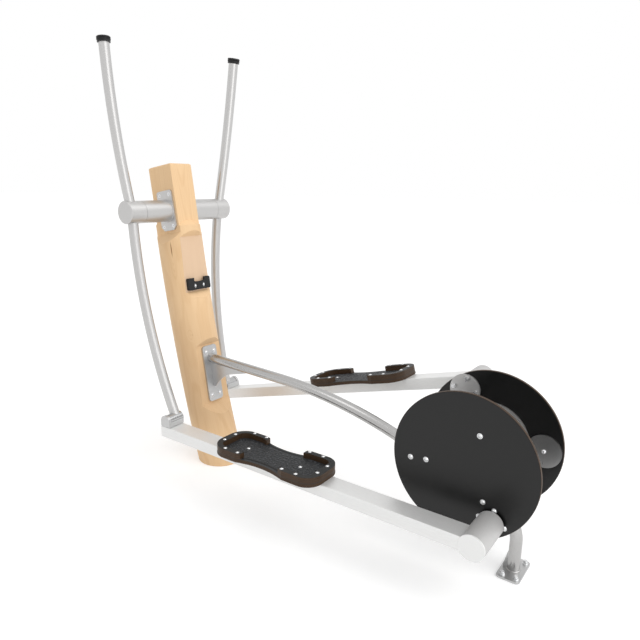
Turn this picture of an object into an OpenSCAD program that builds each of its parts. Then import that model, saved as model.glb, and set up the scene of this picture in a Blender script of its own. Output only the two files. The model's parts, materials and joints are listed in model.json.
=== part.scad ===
// Outdoor cross trainer: wooden post, two swinging arms, two beams with foot plates, twin disc crank.
// Origin: centre of the post's foot on the ground. +X to the rear (crank), +Y to the user's right, +Z up.
// Units are millimetres.

/* [Post] */
// Diameter of the log
log_d = 200; // [180:1:220]
// Height of the post above the ground
post_h = 1340; // [1200:5:1400]
// Lean of the log at its foot, degrees
post_lean = 16.5; // [10:0.1:20]
// Radius of the log's bend
post_bend_r = 8000; // [6000:50:12000]
// Squared top, size front to back
square_x = 145; // [120:1:160]
// Squared top, size side to side
square_y = 120; // [100:1:140]
// How far below the hub the front and rear flats run out
flat_x_drop = 49.4; // [30:0.1:80]
// How far below the hub the side flats run out
flat_y_drop = 102.4; // [95:0.1:130]

/* [Linkage] */
// Height of the arm pivot
hub_h = 1144.4; // [1100:0.1:1200]
// Arm pivot, distance in front of the post's foot
hub_front = 236; // [200:1:260]
// Height of the crank axis
crank_h = 400; // [380:1:420]
// Crank axis, distance behind the post's foot
crank_back = 1240; // [1200:1:1280]
// Crank radius, axis to crank pin
crank_r = 196.8; // [180:0.1:210]
// Rest position of the left crank pin, degrees below the rearward line
crank_rest = 55.7; // [0:0.1:90]
// Arm pivot to lower pivot
arm_len = 893.5; // [860:0.5:920]
// Lower pivot to crank pin
link_len = 1362.7; // [1340:0.1:1400]

/* [Hub] */
// Outside diameter of the cross tube and arm sleeves
hub_d = 95.6; // [88:0.1:102]
// Wall of the cross tube and sleeves
hub_wall = 5; // [3:0.5:8]
// Half length, cap to cap
hub_half = 287; // [270:1:300]
// Hub axle diameter
axle_d = 60.3; // [50:0.1:62]
// Hub flange length along the post
flange_len = 175; // [160:1:190]
// Hub flange width
flange_wid = 97; // [90:1:104]
// Hub flange thickness
flange_t = 8; // [6:1:10]

/* [Arms] */
// Side distance of each arm tube
arm_y = 251; // [245:1:256]
// Diameter of the arm tubes and the stay
tube_d = 42.4; // [38:0.1:48.3]
// Wall of the arm tubes and the stay
tube_wall = 2.6; // [2:0.1:4]
// Bow of the lower arm tube
arm_bow = 45; // [20:1:60]
// Length of the upper arm tube from the pivot
handle_len = 684; // [600:1:760]
// Bend of the upper arm tube, degrees
handle_bend = 8.2; // [2:0.1:15]
// Handle cap diameter
cap_d = 55; // [50:0.5:60]
// Handle cap height
cap_h = 26; // [22:1:34]

/* [Beams] */
// Side distance of each beam's centre
beam_y = 272; // [265:1:280]
// Beam width
beam_w = 80; // [70:1:90]
// Beam height
beam_t = 48; // [40:1:60]
// Beam wall
beam_wall = 3; // [2:0.5:5]
// Lower pivot above the beam's top
pivot_up = 25; // [22:0.5:30]
// Length of the pivot bracket
bracket_len = 52; // [46:1:56]
// Pivot pin diameter
pivot_d = 24; // [16:1:28]
// Crank sleeve diameter
sleeve_d = 87; // [80:0.5:90]
// Crank sleeve wall
sleeve_wall = 3; // [2:0.5:5]
// Outer end of the crank sleeve from the middle
sleeve_out = 313.5; // [305:0.5:320]

/* [Foot plates] */
// Foot plate length
foot_len = 490; // [440:1:500]
// Foot plate width
foot_w = 191; // [170:1:200]
// Waist width
waist_w = 152; // [130:1:160]
// Board thickness, lower layer
board_t = 6; // [4:0.5:10]
// Tread thickness, upper layer
tread_t = 8.5; // [4:0.5:10]
// Rim height
rim_h = 21.5; // [15:0.5:30]
// Rim width
rim_w = 23; // [16:1:30]
// width of the rims at the plate's ends
rim_end = 31; // [20:1:40]
// corner radius at the toe end
toe_r = 72; // [50:1:80]
// corner radius at the heel end
heel_r = 62; // [50:1:80]
// Where the rims end, from the middle of the plate
rim_x = 91; // [70:1:110]
// centre of the left foot plate, from the lower pivot along the beam
foot_x_left = 567; // [540:1:590]
// centre of the right foot plate, from the lower pivot along the beam
foot_x_right = 820; // [800:1:860]

/* [Crank] */
// Disc diameter
disc_d = 500; // [460:1:520]
// Disc thickness
disc_t = 12; // [8:0.5:16]
// Outer face of each disc from the middle
disc_y = 140; // [130:1:150]
// Steel plate thickness on the discs
plate_t = 6; // [4:0.5:8]
// Crank pin diameter
pin_d = 30; // [24:1:40]
// Hub bolt circle radius on the discs
hub_bolt_r = 128.4; // [110:0.1:140]
// Balance plate, distance from the crank axis
balance_r = 186; // [170:1:195]
// Balance plate diameter
balance_d = 118; // [100:1:124]
// Crank axle diameter
shaft_d = 40; // [30:1:50]
// Bearing housing diameter
housing_d = 90; // [80:1:100]

/* [Stay and feet] */
// Base plate, front to back
base_x = 80; // [70:1:100]
// Base plate, side to side
base_y = 140; // [120:1:160]
// Base plate thickness
base_t = 7; // [5:0.5:10]
// Leg of the stay behind the post's foot
leg_x = 1398; // [1380:1:1420]
// Large bend of the stay
stay_bend = 2000; // [1500:50:2500]
// Small bend of the stay above the leg
leg_bend = 130; // [100:5:200]
// Post plate width
post_plate_w = 85; // [80:1:95]
// Post plate length
post_plate_l = 258; // [240:1:280]
// Post plate thickness
post_plate_t = 8; // [6:1:10]

/* [Clearances] */
// Radial running clearance of shafts
run = 0.05; // [0.01:0.01:0.1]
// Gap between parts that move past one another
side_gap = 0.6; // [0.3:0.1:2]

/* [Hidden] */
$fn = 96;
e = 1;
wood = [0.88, 0.74, 0.55];
steel = [0.78, 0.79, 0.80];
zinc = [0.72, 0.75, 0.78];
black = [0.09, 0.09, 0.10];
board = [0.22, 0.13, 0.08];
bright = [0.86, 0.87, 0.88];

// derived positions, as [x, z]
H = [-hub_front, hub_h];
O = [crank_back, crank_h];
beam_drop = pivot_up + beam_t / 2;
function crank_a(s) = s < 0 ? -crank_rest : 180 - crank_rest;
function C(s) = O + crank_r * [cos(crank_a(s)), sin(crank_a(s))];
function dist(a, b) = sqrt(pow(a[0] - b[0], 2) + pow(a[1] - b[1], 2));
function meet_q(d) = (arm_len * arm_len - link_len * link_len + d * d) / (2 * d);
function meet(c, d) = let (u = (c - H) / d, q = meet_q(d), h = sqrt(arm_len * arm_len - q * q))
  H + q * u + h * [u[1], -u[0]];
function P(s) = meet(C(s), dist(C(s), H));
function arm_t(s) = -atan2(P(s)[0] - H[0], H[1] - P(s)[1]);
function beam_a(s) = atan2(C(s)[1] - P(s)[1], C(s)[0] - P(s)[0]) + asin(beam_drop / link_len);
beam_end = sqrt(link_len * link_len - beam_drop * beam_drop);

// places: side s is -1 for left (-Y), 1 for right (+Y)
module sided(s) { if (s < 0) mirror([0, 1, 0]) children(); else children(); }
module at_arm(s) { translate([H[0], 0, H[1]]) rotate([0, arm_t(s), 0]) sided(s) children(); }
module at_beam(s) { translate([P(s)[0], 0, P(s)[1]]) rotate([0, -beam_a(s), 0]) sided(s) children(); }
module at_crank(s) { translate([O[0], 0, O[1]]) rotate([0, -crank_a(s), 0]) sided(s) children(); }

// cylinder along Y from y0 to y1
module ycyl(r, y0, y1) { translate([0, y1, 0]) rotate([90, 0, 0]) cylinder(r = r, h = y1 - y0); }
module yring(r, ri, y0, y1) { difference() { ycyl(r, y0, y1); ycyl(ri, y0 - e, y1 + e); } }
// cylinder along X from x0 to x1
module xcyl(r, x0, x1) { translate([x0, 0, 0]) rotate([0, 90, 0]) cylinder(r = r, h = x1 - x0); }
// flat shape drawn in the XZ plane, from y0 to y1
module xz(y0, y1) { translate([0, y1, 0]) rotate([90, 0, 0]) linear_extrude(y1 - y0) children(); }
// rounded rectangle, centred
module rrect(x, y, r) {
  square([x - 2 * r, y], center = true);
  square([x, y - 2 * r], center = true);
  for (i = [-1, 1], j = [-1, 1]) translate([i * (x / 2 - r), j * (y / 2 - r)]) circle(r);
}
// domed bolt head with a hex recess, seat at z = 0
module dome_head(r, h) {
  difference() {
    intersection() {
      translate([0, 0, h - (r * r + h * h) / (2 * h)]) sphere((r * r + h * h) / (2 * h));
      cylinder(r = r + e, h = h + e);
    }
    translate([0, 0, h * 0.45]) cylinder(r = r * 0.38, h = h, $fn = 6);
  }
}
// domed bolt with washer, seat at z = 0, shank going down to z = -len
module dome_bolt(r, h, shank_r, len) {
  cylinder(r = r * 1.25, h = 1.2);
  translate([0, 0, 1.2]) dome_head(r, h);
  translate([0, 0, -len]) cylinder(r = shank_r, h = len + 0.5);
}
// tube along an arc: starts at the origin going up, bends toward +X by angle a
module arc_tube(br, a, r, ri) {
  translate([br, 0, 0]) rotate([90, 0, 0]) rotate([0, 0, 180 - a])
    rotate_extrude(angle = a, $fn = 360) translate([br, 0]) difference() {
      circle(r);
      if (ri > 0) circle(ri);
    }
}

// log
module log_body(r) {
  C0 = post_bend_r * [cos(post_lean), sin(post_lean)];
  a1 = asin((C0[1] - post_h - 60) / post_bend_r);
  a0 = asin((C0[1] + 60) / post_bend_r);
  translate([C0[0], 0, C0[1]]) rotate([90, 0, 0]) rotate([0, 0, 180 + a1])
    rotate_extrude(angle = a0 - a1, $fn = 360) translate([post_bend_r, 0]) circle(r);
}
function log_x(z) = let (c0 = post_bend_r * [cos(post_lean), sin(post_lean)])
  c0[0] - sqrt(post_bend_r * post_bend_r - pow(c0[1] - z, 2));
top_lean = 9.5;
// frame on the squared top's axis: origin at the hub height
module top_frame() { translate([log_x(hub_h), 0, hub_h]) rotate([0, -top_lean, 0]) children(); }
// a flat cut in the log's rear face: point on it, its lean, and the heights where it runs out
panel_p = [-151, 1000];
panel_lean = 8.24;
plate_p = [-38.8, 416];
plate_lean = 9.8;
module flat_frame(p, lean) { translate([p[0], 0, p[1]]) rotate([0, -lean, 0]) children(); }
module pocket(top, ramp_up, bottom, ramp_down) {
  xz(-130, 130) polygon([[0, bottom], [0, top], [ramp_up, top + ramp_up], [160, top + ramp_up],
    [160, bottom - ramp_down], [ramp_down, bottom - ramp_down]]);
}
// what is taken off the rear face of the log's top: a block, less a cone that leaves a domed ramp
module rear_cut() {
  s = post_h - hub_h;
  k = -flat_x_drop - (150 - square_x / 2);
  difference() {
    translate([square_x / 2, -130, k + 30]) cube([100, 260, s + 60 - k - 30]);
    translate([0, 0, k]) cylinder(r1 = 150, r2 = 0, h = 150);
  }
}
// what is taken off the front face, with a straight ramp
module front_cut() {
  s = post_h - hub_h;
  k = -flat_x_drop;
  xz(-130, 130) polygon([[-square_x / 2, s + 60], [-square_x / 2, k], [-square_x / 2 - 70, k - 70],
    [-square_x / 2 - 70, s + 60]]);
}
// what is taken off the sides, with a straight ramp
module side_cut(j) {
  s = post_h - hub_h;
  k = -flat_y_drop;
  rotate([90, 0, 90]) translate([0, 0, -150]) linear_extrude(300)
    polygon([[j * square_y / 2, s + 60], [j * square_y / 2, k], [j * (square_y / 2 + 70), k - 70],
      [j * (square_y / 2 + 70), s + 60]]);
}
module post() color(wood) {
  s = post_h - hub_h;
  difference() {
    log_body(log_d / 2);
    translate([-400, -200, -200]) cube([700, 400, 200]);
    // top cut square to the log
    top_frame() translate([-200, -200, s + 2]) cube([400, 400, 200]);
    top_frame() rear_cut();
    top_frame() front_cut();
    for (j = [-1, 1]) top_frame() side_cut(j);
    // chamfer round the top
    for (i = [-1, 1]) top_frame() {
      translate([i * square_x / 2, 0, s + 2]) rotate([0, 45, 0]) cube([7, 300, 7], center = true);
      translate([0, i * square_y / 2, s + 2]) rotate([45, 0, 0]) cube([300, 7, 7], center = true);
    }
    flat_frame(panel_p, panel_lean) pocket(35, 60, holder_z - 7, 60);
    flat_frame(plate_p, plate_lean) translate([-post_plate_t, 0, 0]) pocket(132, 60, -140, 70);
    translate([H[0], 0, H[1]]) ycyl(axle_d / 2 + 0.25, -200, 200);
    for (j = [-1, 1], k = [-1, 1], i = [-1, 1])
      hub_screw_at(i, j, k) translate([0, 0, -60]) cylinder(r = 3.5, h = 61);
    flat_frame(plate_p, plate_lean) post_bolt_places()
      translate([0, 0, -post_plate_t - 70]) cylinder(r = 5, h = 70 + e);
    flat_frame(panel_p, panel_lean) holder_screw_places() translate([0, 0, -50]) cylinder(r = 3, h = 51);
  }
}

// hub: flange, fixed cross tube
hub_lean = 10.4;
module hub_screw_at(i, j, k) {
  translate([H[0], 0, H[1]]) rotate([0, -hub_lean, 0])
    translate([i * 30.5, k * (square_y / 2 + flange_t), j * 69]) rotate([-k * 90, 0, 0]) children();
}
arm_in = hub_half - 78;
module hub_bracket(s) color(steel) {
  translate([H[0], 0, H[1]]) sided(s) {
    y0 = square_y / 2;
    difference() {
      union() {
        rotate([0, -hub_lean, 0]) difference() {
          xz(y0, y0 + flange_t) difference() {
            rrect(flange_wid, flange_len, 12);
            for (i = [-1, 1]) translate([i * flange_wid / 2, -flange_len / 2]) rotate(45)
              square(24, center = true);
          }
          for (i = [-1, 1], j = [-1, 1]) translate([i * 30.5, y0 + flange_t, j * 69])
            rotate([90, 0, 0]) translate([0, 0, -e]) {
              cylinder(r = 4.5, h = 30);
              translate([0, 0, e - 0.01]) cylinder(r1 = 8.01, r2 = 4, h = 4);
              cylinder(r = 8, h = e);
            }
        }
        ycyl(hub_d / 2, y0 + flange_t - 0.5, arm_in - side_gap - 0.4);
      }
      ycyl(hub_d / 2 - hub_wall, y0 + flange_t, arm_in + e);
      ycyl(axle_d / 2 + 0.1, 0, 100);
    }
  }
}
module hub_bracket_left() hub_bracket(-1);
module hub_bracket_right() hub_bracket(1);
nut_y = arm_in + 61.5;
module hub_axle() color(steel) translate([H[0], 0, H[1]]) {
  difference() {
    union() {
      ycyl(axle_d / 2, -nut_y - 10, nut_y + 10);
      for (s = [-1, 1]) sided(s) {
        ycyl(34, arm_in - 8, arm_in + 4);
        translate([0, nut_y + 8, 0]) rotate([90, 0, 0]) cylinder(r = 40, h = 8, $fn = 6);
      }
    }
    ycyl(axle_d / 2 - 8, -nut_y - 11, nut_y + 11);
  }
}
module hub_screws() color(bright)
  for (i = [-1, 1], j = [-1, 1], k = [-1, 1]) hub_screw_at(i, j, k) difference() {
    union() {
      translate([0, 0, -4]) cylinder(r1 = 3.98, r2 = 7.9, h = 4);
      translate([0, 0, -54]) cylinder(r = 3.4, h = 52);
    }
    translate([0, 0, -2.5]) cylinder(r = 2.6, h = 3, $fn = 6);
  }

// arms, drawn with the arm pivot at the origin and the lower pivot straight below
module arm_sleeve(s) color(steel) at_arm(s) difference() {
  ycyl(hub_d / 2, arm_in, hub_half - 4);
  ycyl(hub_d / 2 - hub_wall, arm_in - e, hub_half);
}
module arm_end_cap(s) color(steel) at_arm(s) {
  difference() {
    ycyl(hub_d / 2, hub_half - 4, hub_half);
    translate([0, hub_half, 0]) rotate([90, 0, 0]) translate([0, 0, -e])
      difference() {
        cylinder(r = hub_d / 2 + e, h = 3);
        cylinder(r1 = hub_d / 2 - 3, r2 = hub_d / 2, h = 3);
      }
  }
}
module arm_bearings(s) color(zinc) at_arm(s) for (y = [arm_in + 5, nut_y - 16.5]) {
  difference() {
    ycyl(hub_d / 2 - hub_wall, y, y + 16);
    ycyl(axle_d / 2 + run, y - e, y + 17);
    yring(37.5, 34.5, y - e, y + 1.5);
    yring(37.5, 34.5, y + 14.5, y + 17);
  }
}
handle_r = handle_len / (handle_bend * PI / 180);
module handle_frame() { translate([0, arm_y, 0]) rotate([-7.4, 7.9, 0]) rotate([0, 0, -71]) children(); }
module handle_tube(s) color(steel) at_arm(s) difference() {
  handle_frame() arc_tube(handle_r, handle_bend, tube_d / 2, tube_d / 2 - tube_wall);
  ycyl(hub_d / 2, arm_in - 20, hub_half + 20);
}
module handle_cap(s) color(black) at_arm(s) handle_frame()
  translate([handle_r, 0, 0]) rotate([0, handle_bend, 0]) translate([-handle_r, 0, 0])
  rotate_extrude() difference() {
    intersection() {
      union() {
        translate([0, -19]) square([cap_d / 2 - 1.5, 10]);
        translate([0, -10]) square([cap_d / 2, cap_h - 23]);
        translate([0, -5 + cap_h - 23]) square([cap_d / 2 - 5, 5]);
        translate([cap_d / 2 - 5, -5.01 + cap_h - 23]) circle(5);
      }
      translate([0, cap_h - 19 - 150]) circle(150);
      square([100, 100], center = true);
    }
    translate([0, -20]) square([tube_d / 2, 20]);
    translate([-50, -50]) square([50, 100]);
  }
arm_arc_r = pow(arm_len / 2, 2) / (2 * arm_bow) + arm_bow / 2;
arm_arc_a = asin(arm_len / 2 / arm_arc_r);
barrel_r = pivot_up - 0.7;
barrel_y0 = arm_y - tube_d / 2 - 0.3;
cheek_t = 12;
barrel_y1 = beam_y + beam_w / 2 - cheek_t - side_gap;
module lower_tube(s) color(steel) at_arm(s) difference() {
  translate([0, arm_y, -arm_len]) rotate([0, -arm_arc_a, 0])
    arc_tube(arm_arc_r, 2 * arm_arc_a, tube_d / 2, tube_d / 2 - tube_wall);
  ycyl(hub_d / 2, arm_in - 20, hub_half + 20);
  translate([0, 0, -arm_len]) ycyl(barrel_r, 200, 330);
}
module pivot_barrel(s) color(steel) at_arm(s) translate([0, 0, -arm_len]) difference() {
  ycyl(barrel_r, barrel_y0, barrel_y1);
  ycyl(pivot_d / 2 + run, barrel_y0 - e, barrel_y1 + e);
  ycyl(21.5, barrel_y0 - e, beam_y - beam_w / 2 + 5.6);
}
module arm_sleeve_left() arm_sleeve(-1);
module arm_end_cap_left() arm_end_cap(-1);
module arm_bearings_left() arm_bearings(-1);
module handle_tube_left() handle_tube(-1);
module handle_cap_left() handle_cap(-1);
module lower_tube_left() lower_tube(-1);
module pivot_barrel_left() pivot_barrel(-1);
module arm_sleeve_right() arm_sleeve(1);
module arm_end_cap_right() arm_end_cap(1);
module arm_bearings_right() arm_bearings(1);
module handle_tube_right() handle_tube(1);
module handle_cap_right() handle_cap(1);
module lower_tube_right() lower_tube(1);
module pivot_barrel_right() pivot_barrel(1);

// beams, drawn with the lower pivot at the origin and the beam along +X
module at_pin() { translate([beam_end, 0, -beam_drop]) children(); }
beam_top = -pivot_up;
module beam(s) color(steel) at_beam(s) difference() {
  x0 = -bracket_len / 2 - 1;
  translate([x0, beam_y, beam_top - beam_t / 2]) rotate([0, 90, 0]) difference() {
    linear_extrude(beam_end - x0) rrect(beam_t, beam_w, 3);
    translate([0, 0, 4]) linear_extrude(beam_end - x0)
      rrect(beam_t - 2 * beam_wall, beam_w - 2 * beam_wall, 1);
  }
  at_pin() ycyl(sleeve_d / 2, 200, 340);
}
// bracket: a block with one cheek on the outer side and a round seat for the barrel
module pivot_bracket(s) color(steel) at_beam(s) {
  y0 = beam_y - beam_w / 2;
  y1 = beam_y + beam_w / 2;
  difference() {
    union() {
      ycyl(bracket_len / 2, y0, y1);
      translate([-bracket_len / 2, y0, beam_top + 2.5]) cube([bracket_len, beam_w, pivot_up - 2.5]);
      translate([-bracket_len / 2 + 3, y0 + 3, beam_top]) cube([bracket_len - 6, beam_w - 6, 3]);
    }
    // flat where it is welded to the beam
    translate([-bracket_len, y0 - 10, beam_top - 50]) cube([2 * bracket_len, beam_w + 20, 50]);
    ycyl(barrel_r + side_gap, y0 - e, y1 - cheek_t);
    // open above, where the arm comes in
    translate([-bracket_len, y0 - 10, 0]) cube([2 * bracket_len, beam_w + 10 - cheek_t, bracket_len]);
    ycyl(pivot_d / 2, y1 - cheek_t - e, y1 - 4);
  }
}
module pivot_pin(s) color(zinc) at_beam(s) {
  y0 = beam_y - beam_w / 2;
  ycyl(pivot_d / 2, y0 + 2, beam_y + beam_w / 2 - 4);
  difference() {
    ycyl(20, y0 + 1, y0 + 5);
    translate([0, y0 + 2.5, 0]) rotate([90, 0, 0]) cylinder(r = 6, h = 4, $fn = 6);
  }
}
module crank_sleeve(s) color(steel) at_beam(s) at_pin() difference() {
  ycyl(sleeve_d / 2, disc_y + 10, sleeve_out - 4);
  ycyl(sleeve_d / 2 - sleeve_wall, disc_y + 9, sleeve_out);
}
module sleeve_cap(s) color(steel) at_beam(s) at_pin() difference() {
  ycyl(sleeve_d / 2, sleeve_out - 4, sleeve_out);
  translate([0, sleeve_out, 0]) rotate([90, 0, 0]) translate([0, 0, -e]) difference() {
    cylinder(r = sleeve_d / 2 + e, h = 2);
    cylinder(r1 = sleeve_d / 2 - 2, r2 = sleeve_d / 2, h = 2);
  }
}

// foot plates: outline with a waist, toe end at -X
waist_r = 330;
module foot_outline(g) {
  difference() {
    union() {
      translate([-foot_len / 2 + toe_r, -foot_w / 2 + g])
        square([foot_len / 2 - toe_r + 1, foot_w - 2 * g]);
      translate([-foot_len / 2 + g, -foot_w / 2 + toe_r]) square([toe_r, foot_w - 2 * toe_r]);
      for (j = [-1, 1]) translate([-foot_len / 2 + toe_r, j * (foot_w / 2 - toe_r)]) circle(toe_r - g);
      translate([0, -foot_w / 2 + g]) square([foot_len / 2 - heel_r, foot_w - 2 * g]);
      translate([foot_len / 2 - heel_r - 1, -foot_w / 2 + heel_r])
        square([heel_r + 1 - g, foot_w - 2 * heel_r]);
      for (j = [-1, 1]) translate([foot_len / 2 - heel_r, j * (foot_w / 2 - heel_r)]) circle(heel_r - g);
    }
    for (j = [-1, 1]) translate([0, j * (waist_w / 2 + waist_r)]) circle(waist_r + g, $fn = 360);
  }
}
rim_bolts = [for (i = [-1, 1], j = [-1, 1], q = [[foot_len / 2 - 20.5, 30.5],
    [foot_len / 2 - 76, foot_w / 2 - rim_w / 2], [rim_x + 15.5, foot_w / 2 - rim_w / 2]])
  [i * q[0], j * q[1]]];
floor_bolts = [[-126, 0], [126, 0]];
module at_foot(s) { translate([s < 0 ? foot_x_left : foot_x_right, beam_y, beam_top]) children(); }
module foot_board(s) color(board) at_beam(s) at_foot(s) difference() {
  linear_extrude(board_t) foot_outline(0);
  foot_holes();
}
module foot_holes() {
  for (q = rim_bolts) translate([q[0], q[1], -e]) cylinder(r = 4, h = 60);
  for (q = floor_bolts) translate([q[0], q[1], -e]) cylinder(r = 4, h = 60);
}
// tread with a border groove along the waist and a grid of shallow cross grooves
module foot_tread(s) color(black) at_beam(s) at_foot(s) translate([0, 0, board_t]) difference() {
  linear_extrude(tread_t) foot_outline(1);
  translate([0, 0, -1]) foot_holes();
  translate([0, 0, tread_t - 1]) linear_extrude(2) for (j = [-1, 1]) intersection() {
    translate([0, j * (waist_w / 2 + waist_r)]) difference() {
      circle(waist_r + 14, $fn = 360);
      circle(waist_r + 12, $fn = 360);
    }
    square([2 * rim_x - 30, 200], center = true);
  }
}
module rim(s, i) color(board) at_beam(s) at_foot(s)
  translate([0, 0, board_t + tread_t]) difference() {
    intersection() {
      linear_extrude(rim_h) difference() {
        foot_outline(1);
        intersection() {
          foot_outline(rim_w);
          square([foot_len - 2 * rim_end, foot_w - 2 * rim_w], center = true);
        }
      }
      translate([i > 0 ? rim_x : -rim_x - 300, -150, -e]) cube([300, 300, 60]);
    }
    // joint line between the two layers of the rim
    translate([0, 0, rim_h / 2 - 0.4]) linear_extrude(0.8) difference() {
      square(600, center = true);
      foot_outline(1.8);
    }
    translate([0, 0, -1]) foot_holes();
  }
module foot_bolts(s) color(bright) at_beam(s) at_foot(s) {
  for (q = rim_bolts) translate([q[0], q[1], board_t + tread_t + rim_h])
    dome_bolt(5.6, 3.4, 3.9, board_t + tread_t + rim_h);
  for (q = floor_bolts) translate([q[0], q[1], board_t + tread_t])
    dome_bolt(5.6, 3.4, 3.9, board_t + tread_t);
}
module beam_left() beam(-1);
module pivot_bracket_left() pivot_bracket(-1);
module pivot_pin_left() pivot_pin(-1);
module crank_sleeve_left() crank_sleeve(-1);
module sleeve_cap_left() sleeve_cap(-1);
module foot_board_left() foot_board(-1);
module foot_tread_left() foot_tread(-1);
module toe_rim_left() rim(-1, -1);
module heel_rim_left() rim(-1, 1);
module foot_bolts_left() foot_bolts(-1);
module beam_right() beam(1);
module pivot_bracket_right() pivot_bracket(1);
module pivot_pin_right() pivot_pin(1);
module crank_sleeve_right() crank_sleeve(1);
module sleeve_cap_right() sleeve_cap(1);
module foot_board_right() foot_board(1);
module foot_tread_right() foot_tread(1);
module toe_rim_right() rim(1, -1);
module heel_rim_right() rim(1, 1);
module foot_bolts_right() foot_bolts(1);

// crank: local +X points to the crank pin
hub_flange_r = 136;
in_y = disc_y - disc_t;
pin_bolts = [48, 138, 228, 318];
pin_plate_r = 57;
pin_bolt_r = 42;
// the hub's bolts and plates, turned from the pin; the right disc is the left one turned round
hub_turn = 2.9;
function hub_angle(s, a) = s < 0 ? a + hub_turn : -a - hub_turn;
module at_angle(a, r) { rotate([0, -a, 0]) translate([r, 0, 0]) children(); }
module disc_holes(s) {
  for (a = [0, 120, -120]) at_angle(hub_angle(s, a), hub_bolt_r) ycyl(5, 80, 160);
  at_angle(hub_angle(s, -120), balance_r) ycyl(5, 80, 160);
  translate([crank_r, 0, 0]) for (a = pin_bolts) at_angle(a, pin_bolt_r) ycyl(5, 80, 160);
}
module disc(s) color(black) at_crank(s) difference() {
  union() {
    ycyl(disc_d / 2, in_y + 1, disc_y - 1);
    ycyl(disc_d / 2 - 1, in_y, disc_y);
  }
  disc_holes(s);
  at_angle(hub_angle(s, 120), balance_r) ycyl(4, 80, in_y + 8);
  translate([crank_r, 0, 0]) ycyl(pin_d / 2 + 0.1, 100, 160);
}
module crank_hub(s) color(steel) at_crank(s) difference() {
  union() {
    ycyl(hub_flange_r, in_y - plate_t, in_y);
    ycyl(34, in_y - plate_t - 26, in_y - plate_t);
  }
  ycyl(shaft_d / 2, 80, in_y - 2);
  disc_holes(s);
}
module crank_pin(s) color(steel) at_crank(s) {
  difference() {
    translate([crank_r, 0, 0]) {
      ycyl(pin_plate_r, in_y - plate_t, in_y);
      ycyl(pin_d / 2, in_y - plate_t, sleeve_out - 15);
    }
    ycyl(hub_flange_r + 0.5, 100, in_y + e);
    disc_holes(s);
  }
}
module balance_plates() color(zinc) for (s = [-1, 1], a = [-120, 120]) at_crank(s) difference() {
  at_angle(hub_angle(s, a), balance_r) difference() {
    ycyl(balance_d / 2, in_y - plate_t, in_y);
    ycyl(a < 0 ? 5 : 4, 80, 160);
  }
  ycyl(hub_flange_r + 0.5, 100, in_y + e);
}
// through bolt: head on the outer face, nut on the inner side
module through_bolt(y0) {
  translate([0, disc_y, 0]) rotate([-90, 0, 0]) dome_bolt(7.5, 5, 4.9, disc_y - y0 + 9);
  translate([0, y0, 0]) rotate([90, 0, 0]) cylinder(r = 9.2, h = 8, $fn = 6);
}
module disc_bolts() color(bright) for (s = [-1, 1]) at_crank(s) {
  for (a = [0, 120, -120]) at_angle(hub_angle(s, a), hub_bolt_r) through_bolt(in_y - plate_t);
  at_angle(hub_angle(s, -120), balance_r) through_bolt(in_y - plate_t);
  translate([crank_r, 0, 0]) for (a = pin_bolts) at_angle(a, pin_bolt_r) through_bolt(in_y - plate_t);
  at_angle(hub_angle(s, 120), balance_r) translate([0, in_y - plate_t, 0]) rotate([90, 0, 0])
    dome_bolt(7, 4, 3.9, plate_t + 8);
}
module crank_axle() color(steel) translate([O[0], 0, O[1]]) ycyl(shaft_d / 2, -in_y + 2, in_y - 2);
module disc_left() disc(-1);
module disc_right() disc(1);
module crank_hub_left() crank_hub(-1);
module crank_hub_right() crank_hub(1);
module crank_pin_left() crank_pin(-1);
module crank_pin_right() crank_pin(1);

// crank housing and its bracket on the stay
housing_half = 86;
module crank_housing() color(steel) translate([O[0], 0, O[1]]) difference() {
  ycyl(housing_d / 2, -housing_half, housing_half);
  ycyl(housing_d / 2 - 8, -housing_half - e, housing_half + e);
}
module crank_bearings() color(zinc) translate([O[0], 0, O[1]]) for (s = [-1, 1]) sided(s)
  difference() {
    ycyl(housing_d / 2 - 8, housing_half - 24, housing_half - 2);
    ycyl(shaft_d / 2 + run, 0, 100);
    yring(32, 26, housing_half - 3, housing_half);
  }
module crank_bracket() color(steel) difference() {
  union() {
    for (y = [-16, 10]) xz(y, y + 6) polygon([[O[0] - 45, O[1]], [O[0] + 45, O[1]],
      [O[0] + 85, stay_line(O[0] + 85)], [O[0] - 95, stay_line(O[0] - 95)]]);
    xz(-10, 10) polygon([[O[0] - 5, O[1]], [O[0] + 5, O[1]], [O[0] + 5, stay_line(O[0] + 5)],
      [O[0] - 5, stay_line(O[0] - 5)]]);
  }
  translate([O[0], 0, O[1]]) ycyl(housing_d / 2, -100, 100);
  stay_solid(tube_d / 2);
}

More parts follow.
